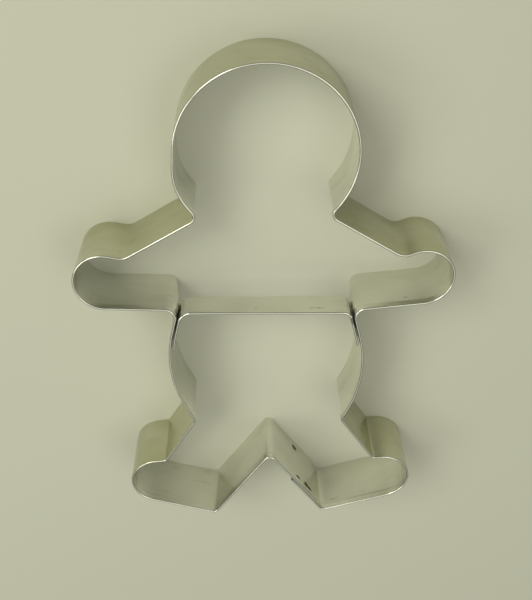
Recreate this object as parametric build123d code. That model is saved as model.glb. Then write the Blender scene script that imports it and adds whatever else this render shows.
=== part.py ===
from build123d import *
import math
import os
from collections import namedtuple

# Gingerbread-man cookie cutter: one deep strip of tinplate bent to the outline and lapped on an inner
# leg, and a shallower strip across the waist whose ends are turned down and welded inside the hips.
# It lies flat, as it cuts: Z is the depth of the strip, with the sharp edge at the bottom and the folded
# edge on top, and +Y points to the head. Reach is measured across from the centre line, height and drop
# from the middle of the waist strip. The figure was bent by hand, so its halves differ a little.

# Sheet and strips: the fold on top is a half-round of flat sides
sheet = 0.3
outline_depth = 25.4
brace_depth = 11.1
hem_width = 0.9
hem_height = 2.4
fold_sides = 6

# Head and neck: the head's left side has a short flat and a tighter cheek
head_radius = 30.5
head_height = 61.2
cheek_angle = 176
cheek_flat = 5.9
cheek_radius = 22.0
neck_radius = 2.6
left_neck_angle = 216
left_neck_flat = 2.5
right_neck_angle = -40
right_neck_flat = 0.4

# Arms and hands
hand_radius = 10.8
left_hand_reach = 57.6
right_hand_reach = 55.3
hand_height = 14.0
wrist_radius = 5.6
left_wrist_angle = 76.5
left_wrist_flat = 3.0
right_wrist_angle = 114.5
right_wrist_flat = 0.5
armpit_radius = 3.9
left_armpit_reach = 37.4
right_armpit_reach = 35.9
left_armpit_drop = 1.6
right_armpit_drop = 2.7

# Hips and knees
hip_radius = 53.0
left_upper_hip_flat = 5.6
left_lower_hip_flat = 6.5
right_upper_hip_flat = 7.8
right_lower_hip_flat = 2.1
knee_radius = 2.6
knee_reach = 31.5
left_knee_drop = 49.6
right_knee_drop = 50.3

# Feet
toe_radius = 10.8
left_toe_reach = 45.0
right_toe_reach = 46.4
toe_drop = 81.8
ankle_radius = 1.7
left_ankle_angle = 96
left_ankle_flat = 3.7
right_ankle_angle = 97
right_ankle_flat = 1.7
heel_radius = 2.0
heel_reach = 23.2
heel_drop = 98.0
crotch_radius = 2.5
crotch_reach = 0.5
crotch_drop = 72.6

# Waist strip: it slopes a little, and each tab follows the straight below its corner bend and then the
# hip's round
left_corner_radius = 5.0
left_corner_height = 0.55
right_corner_radius = 3.2
right_corner_height = -0.4
tab_clearance = 0.5
left_tab_on_hip = 6.5
right_tab_on_hip = 3.5

# Lap on the right inner leg, as shares of the leg's straight run from crotch to heel
lap_clearance = 0.05
outer_end_share = 0.4
inner_end_share = 0.86

# Spot welds: each is an oblong dimple pressed across the gap between the two sheets
dimple_length = 3.0
dimple_height = 1.5
dimple_taper = 0.4
weld_bite = 0.1
weld_clearance = 0.05
seam_weld_from_hem = 4.1
seam_weld_from_cut = 4.5
hem_weld_shares = (0.51, 0.7)
cut_weld_shares = (0.44,)
tab_weld_from_hem = 5.5
tab_weld_share = 0.7

half_hem = hem_width / 2
seam_lap = hem_width + lap_clearance
tab_lap = hem_width + tab_clearance

# A bend is a round of radius r about (x, y). The strip runs anticlockwise round the figure: turn is 1
# where it bends to the left, round an outer corner, and -1 where it bends to the right, in a hollow.
Bend = namedtuple("Bend", "x y r turn")
LEFT = 1
RIGHT = -1

# A run is the straight between two bends: its two ends, and the unit vector to the figure's outside
Run = namedtuple("Run", "start end side")


def next_bend(bend, angle, flat, radius, turn):
    """The bend that follows on: the strip leaves bend facing outwards at angle and runs flat first."""
    side = Vector(1, 0).rotate(Axis.Z, angle)
    way = side.rotate(Axis.Z, 90)
    middle = Vector(bend.x, bend.y) + side * (bend.turn * bend.r - turn * radius) + way * flat
    return Bend(middle.X, middle.Y, radius, turn)


def bend_before(bend, angle, flat, radius, turn):
    """The bend that comes before: from it the strip runs flat, facing outwards at angle, into bend."""
    return next_bend(bend, angle, -flat, radius, turn)


def bulge(first, second, radius, first_flat, second_flat):
    """A shallow left-hand bend between two right-hand ones, with a flat between it and each of them."""
    start = Vector(first.x, first.y)
    across = Vector(second.x, second.y) - start
    from_first = math.hypot(radius + first.r, first_flat)
    from_second = math.hypot(radius + second.r, second_flat)
    along = (across.length**2 + from_first**2 - from_second**2) / (2 * across.length)
    aside = math.sqrt(from_first**2 - along**2)
    way = across.normalized()
    middle = start + way * along + way.rotate(Axis.Z, 90) * aside
    return Bend(middle.X, middle.Y, radius, LEFT)


def outline_bends():
    """Every bend of the outline by name, in order from the right heel round to the crotch."""
    head = Bend(0, head_height, head_radius, LEFT)
    cheek = next_bend(head, cheek_angle, cheek_flat, cheek_radius, LEFT)
    right_hand = Bend(right_hand_reach, hand_height, hand_radius, LEFT)
    left_hand = Bend(-left_hand_reach, hand_height, hand_radius, LEFT)
    right_armpit = Bend(right_armpit_reach, -right_armpit_drop, armpit_radius, RIGHT)
    left_armpit = Bend(-left_armpit_reach, -left_armpit_drop, armpit_radius, RIGHT)
    right_knee = Bend(knee_reach, -right_knee_drop, knee_radius, RIGHT)
    left_knee = Bend(-knee_reach, -left_knee_drop, knee_radius, RIGHT)
    right_toe = Bend(right_toe_reach, -toe_drop, toe_radius, LEFT)
    left_toe = Bend(-left_toe_reach, -toe_drop, toe_radius, LEFT)
    return {
        "right heel": Bend(heel_reach, -heel_drop, heel_radius, LEFT),
        "right toe": right_toe,
        "right ankle": next_bend(right_toe, right_ankle_angle, right_ankle_flat, ankle_radius, RIGHT),
        "right knee": right_knee,
        "right hip": bulge(right_knee, right_armpit, hip_radius, right_lower_hip_flat, right_upper_hip_flat),
        "right armpit": right_armpit,
        "right hand": right_hand,
        "right wrist": next_bend(right_hand, right_wrist_angle, right_wrist_flat, wrist_radius, RIGHT),
        "right neck": bend_before(head, right_neck_angle, right_neck_flat, neck_radius, RIGHT),
        "head": head,
        "left cheek": cheek,
        "left neck": next_bend(cheek, left_neck_angle, left_neck_flat, neck_radius, RIGHT),
        "left wrist": bend_before(left_hand, left_wrist_angle, left_wrist_flat, wrist_radius, RIGHT),
        "left hand": left_hand,
        "left armpit": left_armpit,
        "left hip": bulge(left_armpit, left_knee, hip_radius, left_upper_hip_flat, left_lower_hip_flat),
        "left knee": left_knee,
        "left ankle": bend_before(left_toe, left_ankle_angle, left_ankle_flat, ankle_radius, RIGHT),
        "left toe": left_toe,
        "left heel": Bend(-heel_reach, -heel_drop, heel_radius, LEFT),
        "crotch": Bend(crotch_reach, -crotch_drop, crotch_radius, RIGHT),
    }


def inside(bend, lap):
    """The same bend in a strip that lies inside this one, its middle line a lap further in."""
    return bend._replace(r=bend.r - bend.turn * lap)


def straight_run(a, b):
    """The straight that touches bend a as the strip leaves it and bend b as the strip meets it."""
    across = Vector(b.x - a.x, b.y - a.y)
    lean = math.degrees(math.asin((a.turn * a.r - b.turn * b.r) / across.length))
    side = across.normalized().rotate(Axis.Z, lean - 90)
    return Run(Vector(a.x, a.y) + side * (a.turn * a.r), Vector(b.x, b.y) + side * (b.turn * b.r), side)


def point_on(run, share):
    return run.start + (run.end - run.start) * share


def angle_of(vector):
    return math.degrees(math.atan2(vector.Y, vector.X))


def bend_arc(bend, meets, leaves):
    """The arc of a bend, from the point where the strip meets it to the point where it leaves it."""
    middle = Vector(bend.x, bend.y)
    start = angle_of(meets - middle)
    turned = bend.turn * (angle_of(leaves - middle) - start) % 360
    return CenterArc(middle, bend.r, start, bend.turn * turned)


def bent_path(bends, runs):
    """The middle line of a strip: its first run, then each bend and the run that follows it."""
    edges = [Line(runs[0].start, runs[0].end)]
    for bend, run_in, run_out in zip(bends, runs, runs[1:]):
        edges.append(bend_arc(bend, run_in.end, run_out.start))
        edges.append(Line(run_out.start, run_out.end))
    return edges


def hemmed_section(depth):
    """A strip cut across: the wall on its outer side, and the top edge folded over to its inner side."""
    bottom = outline_depth - depth
    lip = outline_depth - hem_height
    fold = outline_depth - half_hem
    roof = outline_depth - sheet
    inner = half_hem - sheet
    turns = [math.pi * side / fold_sides for side in range(fold_sides + 1)]
    folded = [(half_hem * math.cos(turn), fold + half_hem * math.sin(turn)) for turn in turns]
    return_side = [(-half_hem, lip), (-inner, lip), (-inner, roof)]
    wall_side = [(inner, roof), (inner, bottom), (half_hem, bottom)]
    return make_face(Polyline(*folded, *return_side, *wall_side, close=True))


def bent_strip(edges, depth):
    """The hemmed section swept along a path of edges, with its outer side on the path's right."""
    path = Wire(edges)
    way = path % 0
    section_plane = Plane(origin=path @ 0, x_dir=way.rotate(Axis.Z, -90), z_dir=way * -1)
    return sweep(section_plane * hemmed_section(depth), path=path)


def dimple(place, side, height, depth, grow):
    """An oblong plug that narrows outwards from a strip's inner face by depth, larger all round by grow."""
    mouth_plane = Plane(
        origin=Vector(place.X, place.Y, height) + side * (half_hem - sheet),
        x_dir=side.rotate(Axis.Z, 90),
        z_dir=side,
    )
    length = dimple_length + 2 * grow
    width = dimple_height + 2 * grow
    mouth = SlotOverall(length, width)
    floor = SlotOverall(length - 2 * dimple_taper, width - 2 * dimple_taper)
    return loft([mouth_plane * mouth, mouth_plane.offset(depth) * floor])


def add_weld(strip, place, side, height, reach):
    """Press a dimple into a strip at a point of its middle line, so that it stands out by reach."""
    boss = dimple(place, side, height, sheet + reach, sheet)
    hollow = dimple(place, side, height, reach, 0)
    return strip + boss - hollow


def make_outline(bends):
    """The deep strip: it starts as the outer layer of the lap and ends as the inner one."""
    heel, crotch = bends["right heel"], bends["crotch"]
    outer_run = straight_run(inside(crotch, -seam_lap), heel)
    inner_run = straight_run(crotch, inside(heel, seam_lap))
    lead_in = outer_run._replace(start=point_on(outer_run, outer_end_share))
    lead_out = inner_run._replace(end=point_on(inner_run, inner_end_share))
    turns = list(bends.values())
    runs = [lead_in] + [straight_run(a, b) for a, b in zip(turns, turns[1:])] + [lead_out]
    strip = bent_strip(bent_path(turns, runs), outline_depth)
    welds = [(share, outline_depth - seam_weld_from_hem) for share in hem_weld_shares]
    welds += [(share, seam_weld_from_cut) for share in cut_weld_shares]
    reach = seam_lap - sheet + weld_bite
    for share, height in welds:
        strip = add_weld(strip, point_on(inner_run, share), inner_run.side, height, reach)
    return strip


def corner_bend(hip_run, height, radius):
    """The corner where the waist strip turns down from a height into a hip's straight."""
    way = (hip_run.end - hip_run.start).normalized()
    start = hip_run.start - hip_run.side * radius
    middle = start + way * ((height - radius - start.Y) / way.Y)
    return Bend(middle.X, middle.Y, radius, LEFT)


def make_brace(bends):
    """The shallow strip: up the right tab, across the waist to the left, and down the left tab."""
    right_hip = inside(bends["right hip"], tab_lap)
    left_hip = inside(bends["left hip"], tab_lap)
    right_hip_run = straight_run(right_hip, inside(bends["right armpit"], tab_lap))
    left_hip_run = straight_run(inside(bends["left armpit"], tab_lap), left_hip)
    right_corner = corner_bend(right_hip_run, right_corner_height, right_corner_radius)
    left_corner = corner_bend(left_hip_run, left_corner_height, left_corner_radius)
    right_tab = straight_run(right_hip, right_corner)
    left_tab = straight_run(left_corner, left_hip)
    bar = straight_run(right_corner, left_corner)
    right_turn = math.degrees(right_tab_on_hip / right_hip.r)
    left_turn = math.degrees(left_tab_on_hip / left_hip.r)
    right_start = angle_of(right_tab.side) - right_turn
    lead_in = CenterArc((right_hip.x, right_hip.y), right_hip.r, right_start, right_turn)
    lead_out = CenterArc((left_hip.x, left_hip.y), left_hip.r, angle_of(left_tab.side), left_turn)
    middle_edges = bent_path([right_corner, left_corner], [right_tab, bar, left_tab])
    strip = bent_strip([lead_in] + middle_edges + [lead_out], brace_depth)
    reach = tab_lap - sheet - weld_clearance
    height = outline_depth - tab_weld_from_hem
    for tab, share in ((right_tab, 1 - tab_weld_share), (left_tab, tab_weld_share)):
        strip = add_weld(strip, point_on(tab, share), tab.side, height, reach)
    return strip


bends = outline_bends()
outline_strip = make_outline(bends)
waist_brace = make_brace(bends)

# The origin is the middle of the whole cutter, at the level of its cutting edge
middle = outline_strip.bounding_box().center()
to_middle = Pos(-middle.X, -middle.Y, 0)
os.makedirs("parts", exist_ok=True)
export_step(to_middle * outline_strip, "parts/outline_strip.step")
export_step(to_middle * waist_brace, "parts/waist_brace.step")
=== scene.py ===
import bpy
import bmesh
import cmath
import math
from collections import namedtuple
from mathutils import Matrix, Vector, kdtree, noise


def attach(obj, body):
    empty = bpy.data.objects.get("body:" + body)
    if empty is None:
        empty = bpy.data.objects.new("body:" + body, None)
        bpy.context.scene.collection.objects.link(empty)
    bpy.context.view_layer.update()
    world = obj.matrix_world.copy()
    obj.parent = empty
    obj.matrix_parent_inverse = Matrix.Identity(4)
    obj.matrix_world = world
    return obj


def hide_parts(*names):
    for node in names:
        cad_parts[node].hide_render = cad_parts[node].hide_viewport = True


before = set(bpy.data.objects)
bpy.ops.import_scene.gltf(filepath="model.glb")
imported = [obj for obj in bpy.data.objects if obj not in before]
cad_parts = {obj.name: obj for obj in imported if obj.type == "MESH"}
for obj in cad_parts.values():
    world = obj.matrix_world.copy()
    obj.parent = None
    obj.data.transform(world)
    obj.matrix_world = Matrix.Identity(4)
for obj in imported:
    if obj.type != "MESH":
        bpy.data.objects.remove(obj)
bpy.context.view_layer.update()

# Gingerbread-man cutter in tinplate. Sizes are in millimetres and angles in degrees, as in the part's
# source. A point of the plan is the complex number x + y*1j, measured from the middle of the waist strip,
# and the frame's own origin is the middle of the whole cutter.
MM = 0.001
WAIST_MIDDLE = 1.15 + 4.15j

SHEET = 0.3
OUTLINE_DEPTH = 25.4
BRACE_DEPTH = 11.1
HEM_WIDTH = 0.9
HEM_HEIGHT = 2.4
HALF_HEM = HEM_WIDTH / 2
FOLD_HEIGHT = OUTLINE_DEPTH - HALF_HEM
LIP_HEIGHT = OUTLINE_DEPTH - HEM_HEIGHT
WALL_MIDDLE = HALF_HEM - SHEET / 2

# Bends of the outline: a middle and a radius, or else what leads there from the bend beside it, which is
# the angle that the strip faces between the two and the length that it runs flat
HEAD = 61.2j
HEAD_RADIUS = 30.5
CHEEK = dict(angle=176, flat=5.9, radius=22.0)
NECK_RADIUS = 2.6
LEFT_NECK = dict(angle=216, flat=2.5)
RIGHT_NECK = dict(angle=-40, flat=0.4)

LEFT_HAND = -57.6 + 14.0j
RIGHT_HAND = 55.3 + 14.0j
HAND_RADIUS = 10.8
WRIST_RADIUS = 5.6
LEFT_WRIST = dict(angle=76.5, flat=3.0)
RIGHT_WRIST = dict(angle=114.5, flat=0.5)
LEFT_ARMPIT = -37.4 - 1.6j
RIGHT_ARMPIT = 35.9 - 2.7j
ARMPIT_RADIUS = 3.9

HIP_RADIUS = 53.0
LEFT_HIP_FLATS = (5.6, 6.5)
RIGHT_HIP_FLATS = (2.1, 7.8)
LEFT_KNEE = -31.5 - 49.6j
RIGHT_KNEE = 31.5 - 50.3j
KNEE_RADIUS = 2.6

LEFT_TOE = -45.0 - 81.8j
RIGHT_TOE = 46.4 - 81.8j
TOE_RADIUS = 10.8
LEFT_ANKLE = dict(angle=96, flat=3.7)
RIGHT_ANKLE = dict(angle=97, flat=1.7)
ANKLE_RADIUS = 1.7
LEFT_HEEL = -23.2 - 98.0j
RIGHT_HEEL = 23.2 - 98.0j
HEEL_RADIUS = 2.0
CROTCH = 0.5 - 72.6j
CROTCH_RADIUS = 2.5

# Corners and tabs of the waist strip. A lap is the distance between the middle lines of two layers
LEFT_CORNER = dict(height=0.55, radius=5.0)
RIGHT_CORNER = dict(height=-0.4, radius=3.2)
TAB_CLEARANCE = 0.5
TAB_LAP = HEM_WIDTH + TAB_CLEARANCE
LEFT_TAB_ON_HIP = 6.5
RIGHT_TAB_ON_HIP = 3.5

# The outline's two ends at the seam, as shares of the leg's straight from crotch to heel
SEAM_CLEARANCE = 0.05
SEAM_LAP = HEM_WIDTH + SEAM_CLEARANCE
OUTER_END_SHARE = 0.4
INNER_END_SHARE = 0.86

# Below its hem the outline is drawn in against each tab, which leaves only a narrow line between them,
# painted dark as shade
DRAWN_IN = 0.95
DRAWN_IN_BELOW_LIP = 2.5
DRAWN_IN_FOOT = 12.0
DRAWN_IN_ENDS = 3.0
DRAWN_IN_BEYOND_TAB = 2.0
DRAWN_IN_ON_ARMPIT = 5.5

# Spot welds: share of the straight run that they are on, and height above the cutting edge. A weld's bite
# is how far it sinks into the other sheet
SEAM_WELDS = ((0.503, 21.7), (0.683, 20.7), (0.743, 21.5), (0.458, 4.3))
SEAM_WELD_BITE = 0.1
SEAM_WELD_PUSH = SEAM_LAP - SHEET + SEAM_WELD_BITE
TAB_WELD_SHARE = 0.7
TAB_WELD_HEIGHT = 19.9
TAB_WELD_BITE = 0.05
TAB_WELD_PUSH = TAB_LAP - SHEET - DRAWN_IN + TAB_WELD_BITE
WELD_SIZE = dict(length=2.4, width=2.1)
PRESSED_EDGE = 0.45
ELECTRODE_MARK = dict(push=-0.08, scorch=0.7)
SCORCH_BEYOND_WELD = 0.9
PALE_CORE = 0.6
PALE_CORE_DEPTH = 0.3
PALE_CORE_EDGE = 0.5

# Painted shade: a dirt-dark colour where two strips face each other closely, for the shade in the slot
# between them, and in patches under the lip of the outline's hem, for the shade of the return
SHADE_GAP = 0.5
SHADE_EDGE = 0.45
SHADE_FOOT = 2.5
LIP_SHADE = 0.18
LIP_SHADE_SPREAD = 0.42
LIP_SHADE_LENGTH = 17.0
LIP_SHADE_REACH = 1.0

# The sheet between its bends is never quite flat: a straight is slack, the more so the longer it is, and a
# shallow bend can only flatten
SLACK = 0.32
SLACK_LENGTH = 21.0
SLACK_HEIGHT = 60.0
STIFF_BELOW = 8.0
SLACK_FROM = 30.0
SHALLOW_RADIUS = 20.0
SHALLOW_SLACK = 0.5
# The folded edge springs open a little, and its lip is not quite straight
SPRING_BACK = 0.12
SPRING_SPREAD = 0.2
SPRING_LENGTH = 13.0
LIP_WOBBLE = 0.12
LIP_LENGTH = 9.0

# Marks of handling: the bend they follow, how far beyond its end, height, length, width, push and stain
OUTLINE_MARKS = (
    ("left neck", 27.7, 13.0, 1.4, 0.9, -0.1, 0),
    ("left neck", 28.9, 20.8, 1.8, 1.2, 0, 0.6),
    ("right armpit", 15.2, 19.6, 2.2, 1.4, 0, 0.7),
    ("right armpit", 23.9, 21.9, 5.0, 1.0, 0, 0.45),
    ("left hand", 22.0, 14.5, 3.5, 2.5, 0, 0.35),
    ("left toe", 20.5, 9.1, 9.0, 1.4, 0, 0.5),
    ("left heel", -1.2, 20.8, 1.8, 4.5, 0, 0.45),
    ("right heel", 4.4, 20.4, 5.5, 2.6, 0, 0.5),
    ("right toe", 1.3, 21.1, 1.6, 2.6, 0, 0.4),
)
# The same on the waist strip's bar, at shares of its length from the right
BAR_MARKS = (
    (0.17, 22.1, 6.5, 1.6, 0, 0.5),
    (0.577, 22.5, 1.4, 1.1, 0, 0.8),
    (0.68, 22.1, 1.6, 1.0, 0.1, 0),
)
# A burnt spot on the right tab's hem, and painted shade, given as a full stain, in the open end of the left
# tab's hem
BURNT_BELOW_CORNER = 1.0
BURNT_SPOT = dict(height=FOLD_HEIGHT, length=2.2, width=1.4, scorch=1)
HEM_END_SHADE = dict(height=FOLD_HEIGHT, length=1.2, width=1.2, stain=1)

Bend = namedtuple("Bend", "middle radius turn")
Run = namedtuple("Run", "start end side")
Stretch = namedtuple("Stretch", "start side turn radius length")
# An oblong spot of the flat strip: how far it is pressed to the outer side, how stained and how scorched
Spot = namedtuple("Spot", "along height length width push stain scorch", defaults=(0, 0, 0))
# A strip to be made: the heights of its wall's points, the numbers of the stretches that are slack, its
# spots, where it is drawn in, and what it lies against on its outer or its inner face
Strip = namedtuple("Strip", "name line rows free spots drawn_in neighbour outer_face_meets")
LEFT = 1
RIGHT = -1


# Plan of the strips, as in the part's source

def unit(degrees):
    return cmath.rect(1, math.radians(degrees))


def next_bend(bend, angle, flat, radius, turn):
    """The bend that follows on: the strip leaves bend facing outwards at angle and runs flat first."""
    side = unit(angle)
    return Bend(bend.middle + side * (bend.turn * bend.radius - turn * radius + flat * 1j), radius, turn)


def bend_before(bend, angle, flat, radius, turn):
    return next_bend(bend, angle, -flat, radius, turn)


def bulge(first, second, radius, first_flat, second_flat):
    """A shallow left-hand bend between two right-hand ones, with a flat between it and each of them."""
    across = second.middle - first.middle
    from_first = math.hypot(radius + first.radius, first_flat)
    from_second = math.hypot(radius + second.radius, second_flat)
    along = (abs(across) ** 2 + from_first**2 - from_second**2) / (2 * abs(across))
    aside = math.sqrt(from_first**2 - along**2)
    return Bend(first.middle + across / abs(across) * (along + aside * 1j), radius, LEFT)


def outline_bends():
    """Every bend of the outline by name, in order from the right heel round to the crotch."""
    head = Bend(HEAD, HEAD_RADIUS, LEFT)
    cheek = next_bend(head, turn=LEFT, **CHEEK)
    right_hand = Bend(RIGHT_HAND, HAND_RADIUS, LEFT)
    left_hand = Bend(LEFT_HAND, HAND_RADIUS, LEFT)
    right_armpit = Bend(RIGHT_ARMPIT, ARMPIT_RADIUS, RIGHT)
    left_armpit = Bend(LEFT_ARMPIT, ARMPIT_RADIUS, RIGHT)
    right_knee = Bend(RIGHT_KNEE, KNEE_RADIUS, RIGHT)
    left_knee = Bend(LEFT_KNEE, KNEE_RADIUS, RIGHT)
    right_toe = Bend(RIGHT_TOE, TOE_RADIUS, LEFT)
    left_toe = Bend(LEFT_TOE, TOE_RADIUS, LEFT)
    return {
        "right heel": Bend(RIGHT_HEEL, HEEL_RADIUS, LEFT),
        "right toe": right_toe,
        "right ankle": next_bend(right_toe, radius=ANKLE_RADIUS, turn=RIGHT, **RIGHT_ANKLE),
        "right knee": right_knee,
        "right hip": bulge(right_knee, right_armpit, HIP_RADIUS, *RIGHT_HIP_FLATS),
        "right armpit": right_armpit,
        "right hand": right_hand,
        "right wrist": next_bend(right_hand, radius=WRIST_RADIUS, turn=RIGHT, **RIGHT_WRIST),
        "right neck": bend_before(head, radius=NECK_RADIUS, turn=RIGHT, **RIGHT_NECK),
        "head": head,
        "left cheek": cheek,
        "left neck": next_bend(cheek, radius=NECK_RADIUS, turn=RIGHT, **LEFT_NECK),
        "left wrist": bend_before(left_hand, radius=WRIST_RADIUS, turn=RIGHT, **LEFT_WRIST),
        "left hand": left_hand,
        "left armpit": left_armpit,
        "left hip": bulge(left_armpit, left_knee, HIP_RADIUS, *LEFT_HIP_FLATS),
        "left knee": left_knee,
        "left ankle": bend_before(left_toe, radius=ANKLE_RADIUS, turn=RIGHT, **LEFT_ANKLE),
        "left toe": left_toe,
        "left heel": Bend(LEFT_HEEL, HEEL_RADIUS, LEFT),
        "crotch": Bend(CROTCH, CROTCH_RADIUS, RIGHT),
    }


def inside(bend, lap):
    """The same bend in a strip that lies inside this one, its middle line a lap further in."""
    return bend._replace(radius=bend.radius - bend.turn * lap)


def straight_run(a, b):
    """The straight that touches bend a as the strip leaves it and bend b as the strip meets it."""
    across = b.middle - a.middle
    lean = math.asin((a.turn * a.radius - b.turn * b.radius) / abs(across))
    side = across / abs(across) * cmath.rect(1, lean - math.pi / 2)
    return Run(a.middle + side * a.turn * a.radius, b.middle + side * b.turn * b.radius, side)


def straight(run):
    return Stretch(run.start, run.side, 0, math.inf, abs(run.end - run.start))


def bent(bend, side, degrees):
    start = bend.middle + side * bend.turn * bend.radius
    return Stretch(start, side, bend.turn, bend.radius, math.radians(degrees) * bend.radius)


def stretches(bends, runs):
    """A strip's middle line: its first run, then each bend and the run that follows it."""
    line = [straight(runs[0])]
    for bend, run_in, run_out in zip(bends, runs, runs[1:]):
        turned = math.degrees(bend.turn * cmath.phase(run_out.side / run_in.side)) % 360
        line += [bent(bend, run_in.side, turned), straight(run_out)]
    return line


def length_of(line):
    return sum(stretch.length for stretch in line)


def place(line, along):
    """The plan point at a distance along a strip's middle line, and the unit vector to its outer side."""
    for stretch in line:
        if along <= stretch.length or stretch is line[-1]:
            break
        along -= stretch.length
    if not stretch.turn:
        return stretch.start + stretch.side * along * 1j, stretch.side
    side = stretch.side * cmath.rect(1, stretch.turn * along / stretch.radius)
    return stretch.start + (side - stretch.side) * stretch.turn * stretch.radius, side


def slack(line, along, free):
    """How far the sheet may leave its line here: most in the middle of a long stretch, none in a tight
    bend, and below nought in a shallow one."""
    for number, stretch in enumerate(line):
        if along <= stretch.length:
            break
        along -= stretch.length
    if number not in free or stretch.length < STIFF_BELOW:
        return 0.0
    share = math.sin(math.pi * min(1, max(0, along / stretch.length)))
    if not stretch.turn:
        return share * min(1, stretch.length / SLACK_FROM)
    return -SHALLOW_SLACK * share if stretch.radius > SHALLOW_RADIUS else 0.0


# Mesh of a strip: it is made flat, as (distance along, offset to the outer side, height), refined at its
# spots, and then every vertex is bent to its place

STATION = 1.2
STATION_TURN = 6.0
OUTLINE_ROWS = (0, 1.5, 3, 4.5, 6, 8, 10.5, 13, 15.5, 17.5, 19, 20.2, 21.3, 22.4, 23.4, 24.2)
BRACE_ROWS = (14.3, 15.7, 17.1, 18.5, 19.9, 21.3, 22.4, 23.4, 24.2)
FOLD_SIDES = 12
RETURN_SHARES = (0.35, 0.7, 1)
FINE_CUTS = 4
FINE_BEYOND_SPOT = 1.0


def stations(line):
    """Distances along a strip at which its section is set out, closer together in the bends."""
    found = [0.0]
    for stretch in line:
        step = STATION
        if stretch.turn:
            step = min(STATION, math.radians(STATION_TURN) * stretch.radius)
        count = max(1, round(stretch.length / step))
        start = found[-1]
        found += [start + stretch.length * (i + 1) / count for i in range(count)]
    return found


def skin(offset, rows):
    """One face of the sheet, cut across: up the wall, over the fold, down to the lip of the return."""
    fold = [math.pi * i / FOLD_SIDES for i in range(FOLD_SIDES + 1)]
    wall = [(offset, row) for row in rows]
    top = [(offset * math.cos(a), FOLD_HEIGHT + offset * math.sin(a)) for a in fold]
    back = [(-offset, FOLD_HEIGHT - (FOLD_HEIGHT - LIP_HEIGHT) * share) for share in RETURN_SHARES]
    return wall + top + back


def flat_sheet(line, rows):
    """The folded strip before it is bent, tin on its faces and bare steel (material 1) on its cut edges."""
    flat = bmesh.new()
    outer, inner = skin(HALF_HEM, rows), skin(HALF_HEM - SHEET, rows)
    count = len(outer)
    rings = [[flat.verts.new((along, *point)) for point in outer + inner[::-1]] for along in stations(line)]
    for a, b in zip(rings, rings[1:]):
        for i in range(len(a)):
            j = (i + 1) % len(a)
            face = flat.faces.new((a[i], a[j], b[j], b[i]))
            face.material_index = 1 if i in (count - 1, len(a) - 1) else 0
    for ring, turned in ((rings[0], True), (rings[-1], False)):
        for i in range(count - 1):
            corners = (ring[i], ring[i + 1], ring[-i - 2], ring[-i - 1])
            flat.faces.new(corners[::-1] if turned else corners).material_index = 1
    for edge in flat.edges:
        edge.smooth = len({face.material_index for face in edge.link_faces}) == 1
    for face in flat.faces:
        face.smooth = True
    return flat


def refine(flat, spots):
    edges = set()
    for face in flat.faces:
        middle = face.calc_center_median()
        for spot in spots:
            beside = abs(middle.x - spot.along) - spot.length / 2
            if max(beside, abs(middle.z - spot.height) - spot.width / 2) < FINE_BEYOND_SPOT:
                edges.update(face.edges)
    bmesh.ops.subdivide_edges(flat, edges=list(edges), cuts=FINE_CUTS, use_grid_fill=True)


def depth_in(spot, along, height):
    """How far a point lies inside an oblong spot, below nought outside it."""
    half = spot.width / 2
    beside = max(0, abs(along - spot.along) - (spot.length / 2 - half))
    return half - math.hypot(beside, height - spot.height)


def smooth(value):
    value = min(1, max(0, value))
    return value * value * (3 - 2 * value)


def between(value, start, end, edge):
    return smooth((value - start) / edge) * smooth((end - value) / edge)


def wall_push(strip, along, height):
    """How far the wall stands out of its plan, to its outer side."""
    loose = slack(strip.line, along, strip.free)
    # Noise stays within about half of nought. The count of rows only gives each strip waves of its own
    wave = 2 * noise.noise((along / SLACK_LENGTH, height / SLACK_HEIGHT, len(strip.rows)))
    push = SLACK * loose * wave * max(0, 1 - height / FOLD_HEIGHT)
    if loose < 0:
        push = -abs(push)
    for spot in strip.spots:
        push += spot.push * smooth(depth_in(spot, along, height) / PRESSED_EDGE)
    for start, end in strip.drawn_in:
        below = smooth((LIP_HEIGHT - height) / DRAWN_IN_BELOW_LIP) * smooth(height / DRAWN_IN_FOOT)
        push -= DRAWN_IN * between(along, start, end, DRAWN_IN_ENDS) * below
    return push


# In the next two functions the numbers 7.1 and 3.3 only keep the patterns of noise apart

def return_push(along, height):
    """How far the return of the fold stands off the wall, below nought as that is to the inner side."""
    down = max(0, (FOLD_HEIGHT - height) / (FOLD_HEIGHT - LIP_HEIGHT))
    return -down * (SPRING_BACK + SPRING_SPREAD * noise.noise((along / SPRING_LENGTH, 7.1, 0)))


def lip_wobble(along):
    return LIP_WOBBLE * noise.noise((along / LIP_LENGTH, 3.3, 0))


def painted_shade_at(strip, point, offset, height):
    """How much painted shade lies here: under the lip, or where the strip and its neighbour face each
    other.
    """
    on_outer_face = offset > WALL_MIDDLE
    under_lip = 0 < offset < WALL_MIDDLE and abs(height - LIP_HEIGHT) < LIP_SHADE_REACH
    if under_lip and not strip.outer_face_meets:
        patch = noise.noise((point.real / LIP_SHADE_LENGTH, point.imag / LIP_SHADE_LENGTH, 0))
        return max(0, LIP_SHADE + LIP_SHADE_SPREAD * patch)
    if on_outer_face != strip.outer_face_meets or height > FOLD_HEIGHT:
        return 0.0
    gap = strip.neighbour.find((point.real, point.imag, 0))[2] - TAB_LAP
    foot = OUTLINE_DEPTH - BRACE_DEPTH
    return smooth((SHADE_GAP - gap) / SHADE_EDGE) * smooth((height - foot) / SHADE_FOOT)


def scorched(spot, depth):
    """How scorched a point is that lies this deep inside a spot: most in a ring round a paler core."""
    ring = smooth(1 + depth / SCORCH_BEYOND_WELD)
    return spot.scorch * ring * (1 - PALE_CORE * smooth((depth - PALE_CORE_DEPTH) / PALE_CORE_EDGE))


def stained(spot, depth):
    return spot.stain * smooth(2 * depth / spot.width)


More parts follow.
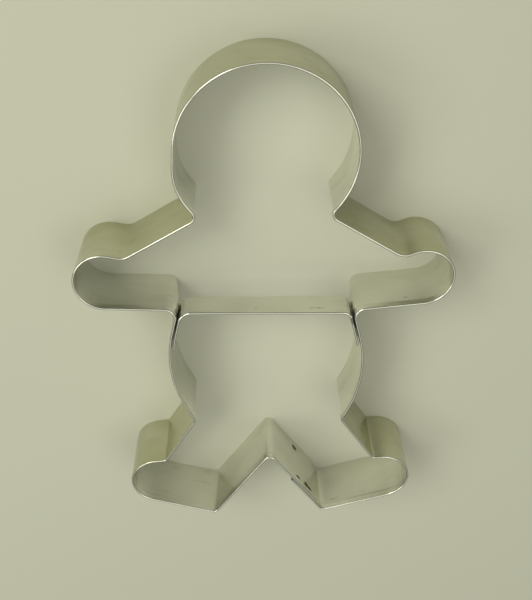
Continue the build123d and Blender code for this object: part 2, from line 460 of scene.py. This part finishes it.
def make_strip(strip):
    flat = flat_sheet(strip.line, strip.rows)
    refine(flat, strip.spots)
    on_strip = flat.verts.layers.float_vector.new("strip")
    scorch, stain, painted_shade, painted_reflection_tint = [flat.verts.layers.float.new(mark) for mark in MARKS]
    for vertex in flat.verts:
        along, offset, height = vertex.co
        point, side = place(strip.line, along)
        depths = [(spot, depth_in(spot, along, height)) for spot in strip.spots]
        vertex[on_strip] = (along, height, offset)
        vertex[scorch] = max(scorched(*depth) for depth in depths)
        vertex[stain] = max(stained(*depth) for depth in depths)
        # Painted shade in the slots between the strips and under the lip
        vertex[painted_shade] = painted_shade_at(strip, point, offset, height)
        # Painted reflection tint on the outline's outer face
        vertex[painted_reflection_tint] = 0.0 if strip.outer_face_meets else smooth((offset - HALF_HEM) / SHEET + 1)
        if offset > 0:
            offset += wall_push(strip, along, height)
        elif height < FOLD_HEIGHT:
            offset += return_push(along, height)
            if height < LIP_HEIGHT + SHEET:
                height += lip_wobble(along)
        point += WAIST_MIDDLE + side * offset
        vertex.co = (point.real * MM, point.imag * MM, height * MM)
    bmesh.ops.recalc_face_normals(flat, faces=flat.faces)
    mesh = bpy.data.meshes.new(strip.name)
    flat.to_mesh(mesh)
    flat.free()
    piece = bpy.data.objects.new(strip.name, mesh)
    bpy.context.scene.collection.objects.link(piece)
    return piece


# The two strips

SEARCH_STEP = 0.2
FACES_ALIKE = 0.05
BESIDE_STRAIGHT = 1.0


def search_tree(line):
    """Plan points all along a strip's middle line, for finding the nearest of them."""
    length = length_of(line)
    count = round(length / SEARCH_STEP)
    tree = kdtree.KDTree(count)
    for i in range(count):
        point, _ = place(line, length * i / count)
        tree.insert((point.real, point.imag, 0), i)
    tree.balance()
    return tree


def distance_to(line, point, side):
    """How far along a strip the foot of a plan point lies, on a straight that faces the same way. There
    may be none, where the strip ends short of the point."""
    along = 0
    for stretch in line:
        foot = ((point - stretch.start) / (stretch.side * 1j)).real
        faces_alike = not stretch.turn and abs(stretch.side - side) < FACES_ALIKE
        if faces_alike and -BESIDE_STRAIGHT < foot < stretch.length + BESIDE_STRAIGHT:
            return along + foot
        along += stretch.length
    return None


def where(bends, line, name):
    """Where a bend of the outline starts and ends along its strip."""
    number = 2 * list(bends).index(name) + 1
    start = length_of(line[:number])
    return start, start + line[number].length


def seam_runs(bends):
    """The right inner leg's two layers: the strip's first end, outside, and its last end, inside. The
    third run is the inner layer's whole straight, from crotch to heel."""
    heel, crotch = bends["right heel"], bends["crotch"]
    outer_run = straight_run(inside(crotch, -SEAM_LAP), heel)
    inner_run = straight_run(crotch, inside(heel, SEAM_LAP))
    outer_end = outer_run.start + (outer_run.end - outer_run.start) * OUTER_END_SHARE
    inner_end = inner_run.start + (inner_run.end - inner_run.start) * INNER_END_SHARE
    return outer_run._replace(start=outer_end), inner_run._replace(end=inner_end), inner_run


def outline_line(bends):
    turns = list(bends.values())
    lead_in, lead_out, _ = seam_runs(bends)
    return stretches(turns, [lead_in] + [straight_run(a, b) for a, b in zip(turns, turns[1:])] + [lead_out])


def seam_spots(bends, line):
    """The seam's welds on its inner layer, and the electrode's marks on the outer one."""
    lead_in, _, whole = seam_runs(bends)
    spots = []
    for share, height in SEAM_WELDS:
        point = whole.start + (whole.end - whole.start) * share
        along = length_of(line[:-1]) + abs(point - whole.start)
        spots.append(Spot(along, height, **WELD_SIZE, push=SEAM_WELD_PUSH, scorch=1))
        along = distance_to(line[:1], point, lead_in.side)
        if along is not None:
            spots.append(Spot(along, height, **WELD_SIZE, **ELECTRODE_MARK))
    return spots


def tab_spots(line, brace):
    """The electrode's marks on the outline's outer face, opposite the tabs' welds."""
    spots = []
    for weld in [spot for spot in brace.spots if spot.push == TAB_WELD_PUSH]:
        point, side = place(brace.line, weld.along)
        spots.append(weld._replace(along=distance_to(line, point, side), **ELECTRODE_MARK))
    return spots


def plan_outline(bends, brace):
    line = outline_line(bends)
    hip, armpit = where(bends, line, "right hip"), where(bends, line, "right armpit")
    drawn_in = [(hip[1] - RIGHT_TAB_ON_HIP - DRAWN_IN_BEYOND_TAB, armpit[0] + DRAWN_IN_ON_ARMPIT)]
    hip, armpit = where(bends, line, "left hip"), where(bends, line, "left armpit")
    drawn_in.append((armpit[1] - DRAWN_IN_ON_ARMPIT, hip[0] + LEFT_TAB_ON_HIP + DRAWN_IN_BEYOND_TAB))
    marks = [Spot(where(bends, line, name)[1] + beyond, *rest) for name, beyond, *rest in OUTLINE_MARKS]
    return Strip(
        name="tin_outline", line=line, rows=OUTLINE_ROWS, free=range(1, len(line) - 1),
        spots=seam_spots(bends, line) + tab_spots(line, brace) + marks, drawn_in=drawn_in,
        neighbour=search_tree(brace.line), outer_face_meets=False)


def corner_bend(hip_run, height, radius):
    """The corner where the waist strip turns down from a height into a hip's straight."""
    way = (hip_run.end - hip_run.start) / abs(hip_run.end - hip_run.start)
    start = hip_run.start - hip_run.side * radius
    return Bend(start + way * ((height - radius - start.imag) / way.imag), radius, LEFT)


def plan_brace(bends):
    right_hip = inside(bends["right hip"], TAB_LAP)
    left_hip = inside(bends["left hip"], TAB_LAP)
    right_hip_run = straight_run(right_hip, inside(bends["right armpit"], TAB_LAP))
    left_hip_run = straight_run(inside(bends["left armpit"], TAB_LAP), left_hip)
    right_corner = corner_bend(right_hip_run, **RIGHT_CORNER)
    left_corner = corner_bend(left_hip_run, **LEFT_CORNER)
    right_tab = straight_run(right_hip, right_corner)
    left_tab = straight_run(left_corner, left_hip)
    bar = straight_run(right_corner, left_corner)
    right_turn = math.degrees(RIGHT_TAB_ON_HIP / right_hip.radius)
    left_turn = math.degrees(LEFT_TAB_ON_HIP / left_hip.radius)
    lead_in = bent(right_hip, right_tab.side * unit(-right_turn), right_turn)
    lead_out = bent(left_hip, left_tab.side, left_turn)
    line = [lead_in] + stretches([right_corner, left_corner], [right_tab, bar, left_tab]) + [lead_out]
    right_weld = lead_in.length + line[1].length * (1 - TAB_WELD_SHARE)
    left_weld = length_of(line[:-2]) + line[-2].length * TAB_WELD_SHARE
    spots = [
        Spot(along, TAB_WELD_HEIGHT, **WELD_SIZE, push=TAB_WELD_PUSH, scorch=1)
        for along in (right_weld, left_weld)
    ]
    spots.append(Spot(length_of(line[:2]) - BURNT_BELOW_CORNER, **BURNT_SPOT))
    # Painted shade in the open end of the left tab's hem
    spots.append(Spot(length_of(line), **HEM_END_SHADE))
    bar_number = 3
    bar_start, bar_length = length_of(line[:bar_number]), line[bar_number].length
    spots += [Spot(bar_start + share * bar_length, *rest) for share, *rest in BAR_MARKS]
    return Strip(
        name="tin_waist_brace", line=line, rows=BRACE_ROWS, free=(bar_number,), spots=spots, drawn_in=(),
        neighbour=search_tree(outline_line(bends)), outer_face_meets=True)


# Materials. A pattern's size is in millimetres on the flat sheet: along the strip, up it and through it

TIN_MOTTLE = (24, 14, 3)
HANDLING_PATCH = (11, 6, 2)
SHEET_UNEVENNESS = (9, 6, 4)
# Real rolling lines are a few hundredths of a millimetre apart; these are as coarse as the picture needs
ROLLING_LINE = (26, 0.35, 1)
STAIN_EDGE = (0.9, 0.9, 1)
RUST_SPECK = (3, 2, 1)
RELIEF_HEIGHT = 0.03
ROLLING_LINE_HEIGHT = 0.002

# What each point of a strip carries from 0 to 1: burnt tin, stain, painted shade, and a painted reflection
# tint
MARKS = ("scorch", "stain", "painted_shade", "painted_reflection_tint")


def linear(hex_value):
    """A colour given as sRGB hex, as the linear values that a shader takes."""
    parts = [int(hex_value[i:i + 2], 16) / 255 for i in (0, 2, 4)]
    return (*[p / 12.92 if p <= 0.04045 else ((p + 0.055) / 1.055) ** 2.4 for p in parts], 1)


def per_mm(size):
    return [1 / length for length in size]


def add(tree, kind, inputs=(), **settings):
    """Add a node with its settings; inputs maps a socket's name or number to a value or another socket."""
    node = tree.nodes.new("ShaderNode" + kind)
    for name, value in settings.items():
        setattr(node, name, value)
    for name, value in dict(inputs).items():
        if isinstance(value, bpy.types.NodeSocket):
            tree.links.new(value, node.inputs[name])
        else:
            node.inputs[name].default_value = value
    return node


def new_material(name):
    material = bpy.data.materials.new(name)
    material.use_nodes = True
    material.node_tree.nodes.clear()
    return material


def tinplate():
    """Tinplate: mild steel sheet, cold-rolled, then tinned and flow-brightened. The eye gets soft
    silver-grey reflections, faintly drawn out along the strip, duller where it was handled, and brown at
    its welds."""
    material = new_material("tinplate")
    tree = material.node_tree
    strip = add(tree, "Attribute", attribute_name="strip").outputs["Vector"]
    scorch, stain, painted_shade, painted_reflection_tint = [
        add(tree, "Attribute", attribute_name=mark).outputs["Fac"] for mark in MARKS]

    # The tin's own slow changes of tone
    at = add(tree, "VectorMath", {0: strip, 1: per_mm(TIN_MOTTLE)}, operation="MULTIPLY").outputs[0]
    mottle = add(tree, "TexNoise", {"Vector": at, "Scale": 1.0, "Detail": 2.0}).outputs["Fac"]
    share = add(tree, "MapRange", {"Value": mottle, "From Min": 0.35, "From Max": 0.65}).outputs[0]
    colour = add(tree, "Mix", {0: share, 6: linear("E9EAE0"), 7: linear("DFE0D4")},
                 data_type="RGBA").outputs[2]
    rough = add(tree, "MapRange", {"Value": mottle, "From Min": 0.3, "From Max": 0.7,
                                   "To Min": 0.13, "To Max": 0.2}).outputs[0]

    # Painted reflection: the outline's outer face is painted yellower, for the warm surroundings that it
    # reflects
    share = add(tree, "MapRange", {"Value": mottle, "From Min": 0.3, "From Max": 0.7,
                                   "To Min": 0.55, "To Max": 0.85}).outputs[0]
    share = add(tree, "Math", {0: share, 1: painted_reflection_tint}, operation="MULTIPLY").outputs[0]
    colour = add(tree, "Mix", {0: share, 6: colour, 7: linear("BFBE9C")}, data_type="RGBA").outputs[2]

    # Rolling lines
    at = add(tree, "VectorMath", {0: strip, 1: per_mm(ROLLING_LINE)}, operation="MULTIPLY").outputs[0]
    lines = add(tree, "TexNoise", {"Vector": at, "Scale": 1.0, "Detail": 3.0}).outputs["Fac"]
    share = add(tree, "MapRange", {"Value": lines, "From Min": 0.4, "From Max": 0.75,
                                   "To Max": 0.06}).outputs[0]
    colour = add(tree, "Mix", {0: share, 6: colour, 7: linear("A9A892")}, data_type="RGBA").outputs[2]

    # Finger marks and drying marks, duller than the tin round them
    at = add(tree, "VectorMath", {0: strip, 1: per_mm(HANDLING_PATCH)}, operation="MULTIPLY").outputs[0]
    patch = add(tree, "TexNoise", {"Vector": at, "Scale": 1.0, "Detail": 4.0,
                                   "Roughness": 0.55}).outputs["Fac"]
    share = add(tree, "MapRange", {"Value": patch, "From Min": 0.55, "From Max": 0.8,
                                   "To Max": 0.25}).outputs[0]
    colour = add(tree, "Mix", {0: share, 6: colour, 7: linear("9C9780")}, data_type="RGBA").outputs[2]
    more = add(tree, "Math", {0: share, 1: 0.5}, operation="MULTIPLY").outputs[0]
    rough = add(tree, "Math", {0: rough, 1: more}, operation="ADD").outputs[0]

    # Stains, with ragged edges
    at = add(tree, "VectorMath", {0: strip, 1: per_mm(STAIN_EDGE)}, operation="MULTIPLY").outputs[0]
    ragged = add(tree, "TexNoise", {"Vector": at, "Scale": 1.0, "Detail": 3.0,
                                    "Roughness": 0.6}).outputs["Fac"]
    ragged = add(tree, "MapRange", {"Value": ragged, "From Min": 0.3, "From Max": 0.7,
                                    "To Min": -0.3, "To Max": 0.3}).outputs[0]
    edge = add(tree, "Math", {0: stain, 1: ragged}, operation="ADD").outputs[0]
    share = add(tree, "MapRange", {"Value": edge, "From Min": 0.25, "From Max": 0.9,
                                   "To Max": 0.75}).outputs[0]
    colour = add(tree, "Mix", {0: share, 6: colour, 7: linear("6F6750")}, data_type="RGBA").outputs[2]

    # Tin burnt off at the welds, which leaves a rougher oxide with the same ragged edges
    edge = add(tree, "Math", {0: scorch, 1: ragged}, operation="ADD").outputs[0]
    share = add(tree, "MapRange", {"Value": edge, "From Min": 0.35, "From Max": 0.85,
                                   "To Max": 0.85}).outputs[0]
    colour = add(tree, "Mix", {0: share, 6: colour, 7: linear("4E4B3A")}, data_type="RGBA").outputs[2]
    more = add(tree, "Math", {0: share, 1: 0.3}, operation="MULTIPLY").outputs[0]
    rough = add(tree, "Math", {0: rough, 1: more}, operation="ADD").outputs[0]
    bare = add(tree, "MapRange", {"Value": share, "From Max": 0.85,
                                  "To Min": 1.0, "To Max": 0.2}).outputs[0]

    # Painted shade: a dirt-dark colour in the lines between the strips and under the lip hides the metal
    # and stands for the shade there
    share = add(tree, "Math", {0: painted_shade, 1: 0.8}, operation="MULTIPLY").outputs[0]
    colour = add(tree, "Mix", {0: share, 6: colour, 7: linear("2E2C22")}, data_type="RGBA").outputs[2]
    bare = add(tree, "Math", {0: bare, 1: share}, operation="SUBTRACT", use_clamp=True).outputs[0]
    more = add(tree, "Math", {0: painted_shade, 1: 0.5}, operation="MULTIPLY").outputs[0]
    rough = add(tree, "Math", {0: rough, 1: more}, operation="ADD").outputs[0]

    # A slight unevenness of the sheet, with the rolling lines on top of it
    at = add(tree, "VectorMath", {0: strip, 1: per_mm(SHEET_UNEVENNESS)}, operation="MULTIPLY").outputs[0]
    relief = add(tree, "TexNoise", {"Vector": at, "Scale": 1.0, "Detail": 1.0}).outputs["Fac"]
    normal = add(tree, "Bump", {"Strength": 1.0, "Distance": RELIEF_HEIGHT * MM,
                                "Height": relief}).outputs[0]
    normal = add(tree, "Bump", {"Strength": 0.5, "Distance": ROLLING_LINE_HEIGHT * MM, "Height": lines,
                                "Normal": normal}).outputs[0]
    shader = add(tree, "BsdfPrincipled", {"Base Color": colour, "Metallic": bare, "Roughness": rough,
                                          "Normal": normal}).outputs[0]
    add(tree, "OutputMaterial", {"Surface": shader})
    return material


def cut_steel():
    """Mild steel where the sheet was sheared: bare, so that the eye gets a thin line, darker and greyer
    than the tin, with a trace of rust."""
    material = new_material("sheared mild steel")
    tree = material.node_tree
    strip = add(tree, "Attribute", attribute_name="strip").outputs["Vector"]
    at = add(tree, "VectorMath", {0: strip, 1: per_mm(RUST_SPECK)}, operation="MULTIPLY").outputs[0]
    rust = add(tree, "TexNoise", {"Vector": at, "Scale": 1.0, "Detail": 4.0,
                                  "Roughness": 0.6}).outputs["Fac"]
    share = add(tree, "MapRange", {"Value": rust, "From Min": 0.5, "From Max": 0.7}).outputs[0]
    colour = add(tree, "Mix", {0: share, 6: linear("A5A298"), 7: linear("6E6250")},
                 data_type="RGBA").outputs[2]
    rough = add(tree, "MapRange", {"Value": rust, "From Min": 0.3, "From Max": 0.7,
                                   "To Min": 0.35, "To Max": 0.6}).outputs[0]
    shader = add(tree, "BsdfPrincipled", {"Base Color": colour, "Metallic": 1.0,
                                          "Roughness": rough}).outputs[0]
    add(tree, "OutputMaterial", {"Surface": shader})
    return material


def floor_paint():
    """Matt emulsion paint on the studio floor, which gives the eye a plain warm off-white."""
    material = new_material("matt emulsion")
    tree = material.node_tree
    shader = add(tree, "BsdfPrincipled", {"Base Color": linear("CECFBE"), "Roughness": 0.8}).outputs[0]
    add(tree, "OutputMaterial", {"Surface": shader})
    return material


# Camera of the photograph, in metres and millimetres of lens, with its long side on the image height

CAMERA_PLACE = Vector((-0.004445, 0.18043, 0.28878))
CAMERA_RIGHT = Vector((0.999718, -0.006124, 0.022929))
CAMERA_UP = Vector((0.017586, 0.839915, -0.542433))
CAMERA_LENS = 52.70


def make_camera():
    data = bpy.data.cameras.new("photo camera")
    data.lens = CAMERA_LENS
    data.sensor_width = 36
    data.clip_start = 0.01
    camera = bpy.data.objects.new("photo camera", data)
    turned = Matrix((CAMERA_RIGHT, CAMERA_UP, CAMERA_RIGHT.cross(CAMERA_UP))).transposed().to_4x4()
    camera.matrix_world = Matrix.Translation(CAMERA_PLACE) @ turned
    bpy.context.scene.collection.objects.link(camera)
    bpy.context.scene.camera = camera


# Studio. Each softbox is a name, a place and a size in metres, and a power in watts

SOFTBOXES = (
    ("left softbox", (-0.81, 0, 0.81), (0.5, 0.5), 1.9),
    ("back left softbox", (-0.575, 0.575, 0.81), (0.5, 0.5), 3.7),
    ("right softbox", (0.43, 0, 1.07), (0.5, 0.5), 1.1),
)
FLOOR_HALF = 20.0


def make_studio():
    mesh = bpy.data.meshes.new("studio floor")
    corners = [(x * FLOOR_HALF, y * FLOOR_HALF, 0) for x, y in ((-1, -1), (1, -1), (1, 1), (-1, 1))]
    mesh.from_pydata(corners, [], [(0, 1, 2, 3)])
    mesh.materials.append(floor_paint())
    floor = bpy.data.objects.new("studio floor", mesh)
    bpy.context.scene.collection.objects.link(floor)
    for name, spot, size, power in SOFTBOXES:
        data = bpy.data.lights.new(name, "AREA")
        data.shape = "RECTANGLE"
        data.size, data.size_y = size
        data.energy = power
        data.color = linear("FFFEF0")[:3]
        light = bpy.data.objects.new(name, data)
        light.location = spot
        light.rotation_euler = (-Vector(spot)).to_track_quat("-Z", "Y").to_euler()
        bpy.context.scene.collection.objects.link(light)

    # The sky is dark low down and pale overhead, so that each fold shows a bright line beside a dark one
    world = bpy.data.worlds.new("studio")
    world.use_nodes = True
    tree = world.node_tree
    height = add(tree, "SeparateXYZ", {0: add(tree, "TexCoord").outputs["Generated"]}).outputs["Z"]
    share = add(tree, "MapRange", {"Value": height, "From Min": 0.45, "From Max": 0.85}).outputs[0]
    sky = add(tree, "Mix", {0: share, 6: linear("4A4B45"), 7: linear("FAF9EE")},
              data_type="RGBA").outputs[2]
    tree.links.new(sky, tree.nodes["Background"].inputs["Color"])
    tree.nodes["Background"].inputs["Strength"].default_value = 0.8
    bpy.context.scene.world = world
    bpy.context.scene.view_settings.view_transform = "Standard"


make_camera()
make_studio()
bends = outline_bends()
brace_plan = plan_brace(bends)
outline, brace = make_strip(plan_outline(bends, brace_plan)), make_strip(brace_plan)
tin, edge = tinplate(), cut_steel()
for piece, node in ((outline, "outline_strip"), (brace, "waist_brace")):
    piece.data.materials.append(tin)
    piece.data.materials.append(edge)
    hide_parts(node)
    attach(piece, "root")
